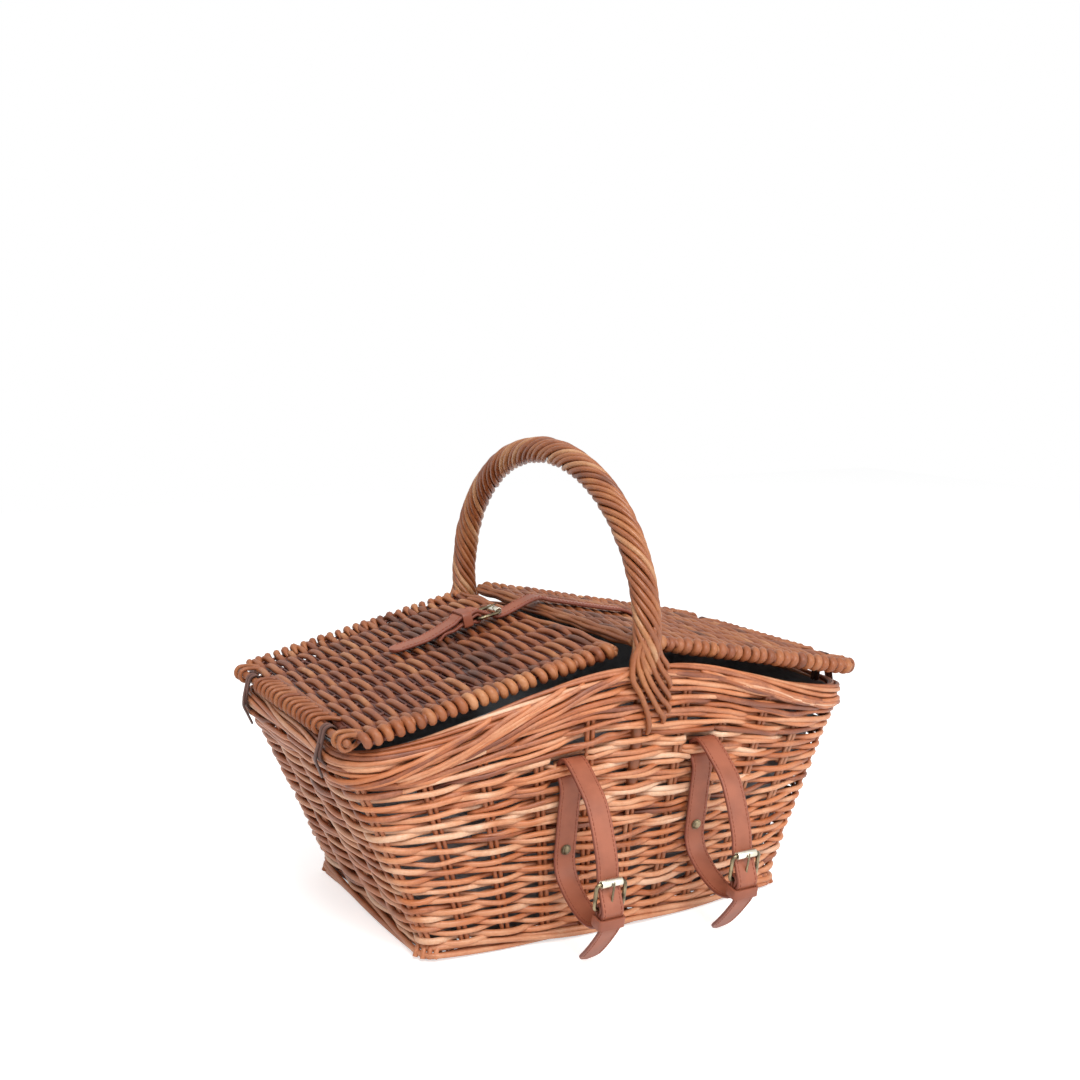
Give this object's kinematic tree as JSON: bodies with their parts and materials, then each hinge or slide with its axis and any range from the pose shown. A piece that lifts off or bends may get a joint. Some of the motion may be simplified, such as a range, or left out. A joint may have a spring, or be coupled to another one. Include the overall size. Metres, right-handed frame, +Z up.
{
  "type": "picnic basket",
  "caption": "Flared rattan picnic basket with a saddle rim, tied-on hinged lids, a twisted cane handle, buckled leather straps and a fabric liner.",
  "frame": {"origin": "centre of the flat base, on the surface that the basket stands on", "axes": "+X along the length, -Y towards the side with the two front straps, +Z up"},
  "size_m": [0.4674, 0.3763, 0.3779],
  "materials": {
    "wall_rattan": "oiled peeled rattan cane",
    "lid_rattan": "browner oiled rattan cane",
    "handle_cane": "twisted rattan cane",
    "strap_leather": "stitched tan leather",
    "thong_leather": "dark brown lacing",
    "antique_brass": "antique brass",
    "liner_cloth": "plain woven charcoal"
  },
  "bodies": {
    "basket": {"base_panel": "wall_rattan", "foot_border": "wall_rattan", "wall_weave": "wall_rattan", "cross_stake_1": "wall_rattan", "cross_stake_2": "wall_rattan", "cross_stake_3": "wall_rattan", "cross_stake_4": "wall_rattan", "cross_stake_5": "wall_rattan", "cross_stake_6": "wall_rattan", "length_stake_1": "wall_rattan", "length_stake_2": "wall_rattan", "length_stake_3": "wall_rattan", "length_stake_4": "wall_rattan", "liner": "liner_cloth", "rim_roll_left": "wall_rattan", "rim_roll_right": "wall_rattan", "handle_core": "handle_cane", "handle_wrap": "handle_cane", "handle_foot_front": "handle_cane", "handle_foot_back": "handle_cane", "left_hinge_thong_front": "thong_leather", "left_hinge_thong_back": "thong_leather", "right_hinge_thong_front": "thong_leather", "right_hinge_thong_back": "thong_leather", "front_strap_left": "strap_leather", "front_left_buckle_frame": "antique_brass", "front_left_keeper": "strap_leather", "front_left_rivet": "antique_brass", "front_strap_right": "strap_leather", "front_right_buckle_frame": "antique_brass", "front_right_keeper": "strap_leather", "front_right_rivet": "antique_brass"},
    "left_lid": {"left_lid_panel": "lid_rattan", "left_lid_hinge_stick": "lid_rattan", "left_lid_stick_1": "lid_rattan", "left_lid_stick_2": "lid_rattan", "left_lid_stick_3": "lid_rattan", "left_lid_stick_4": "lid_rattan", "left_lid_stick_5": "lid_rattan", "left_lid_stick_6": "lid_rattan", "lid_strap_chape": "strap_leather", "lid_strap_buckle_frame": "antique_brass", "lid_strap_keeper": "strap_leather"},
    "right_lid": {"right_lid_panel": "lid_rattan", "right_lid_hinge_stick": "lid_rattan", "right_lid_stick_1": "lid_rattan", "right_lid_stick_2": "lid_rattan", "right_lid_stick_3": "lid_rattan", "right_lid_stick_4": "lid_rattan", "right_lid_stick_5": "lid_rattan", "right_lid_stick_6": "lid_rattan", "lid_strap_billet": "strap_leather"},
    "front_left_prong": {"front_left_buckle_prong": "antique_brass"},
    "front_left_roller": {"front_left_buckle_roller": "antique_brass"},
    "front_right_prong": {"front_right_buckle_prong": "antique_brass"},
    "front_right_roller": {"front_right_buckle_roller": "antique_brass"},
    "lid_strap_prong": {"lid_strap_buckle_prong": "antique_brass"},
    "lid_strap_roller": {"lid_strap_buckle_roller": "antique_brass"}
  },
  "joints": [
    {"name": "left_lid_hinge", "type": "hinge", "parent": "basket", "child": "left_lid", "pos_m": [-0.2245, 0, 0.18], "axis": [0, -1, 0], "range_deg": [0, 170], "deforming": ["lid_strap_billet"]},
    {"name": "right_lid_hinge", "type": "hinge", "parent": "basket", "child": "right_lid", "pos_m": [0.2245, 0, 0.1855], "axis": [0, 1, 0], "range_deg": [0, 170], "deforming": ["lid_strap_billet"]},
    {"name": "front_left_prong_pivot", "type": "hinge", "parent": "basket", "child": "front_left_prong", "pos_m": [-0.058, -0.19915, 0.056], "axis": [1, 0, 0], "range_deg": [0, 15]},
    {"name": "front_left_roller_spin", "type": "hinge", "parent": "basket", "child": "front_left_roller", "pos_m": [-0.058, -0.20293, 0.07564], "axis": [1, 0, 0], "continuous": true},
    {"name": "front_right_prong_pivot", "type": "hinge", "parent": "basket", "child": "front_right_prong", "pos_m": [0.06, -0.19899, 0.056], "axis": [1, 0, 0], "range_deg": [0, 15]},
    {"name": "front_right_roller_spin", "type": "hinge", "parent": "basket", "child": "front_right_roller", "pos_m": [0.06, -0.20277, 0.07564], "axis": [1, 0, 0], "continuous": true},
    {"name": "lid_strap_prong_pivot", "type": "hinge", "parent": "left_lid", "child": "lid_strap_prong", "pos_m": [-0.05734, 0.02, 0.22933], "axis": [0, -1, 0], "range_deg": [0, 15]},
    {"name": "lid_strap_roller_spin", "type": "hinge", "parent": "left_lid", "child": "lid_strap_roller", "pos_m": [-0.03781, 0.02, 0.23362], "axis": [0, -1, 0], "continuous": true}
  ]
}
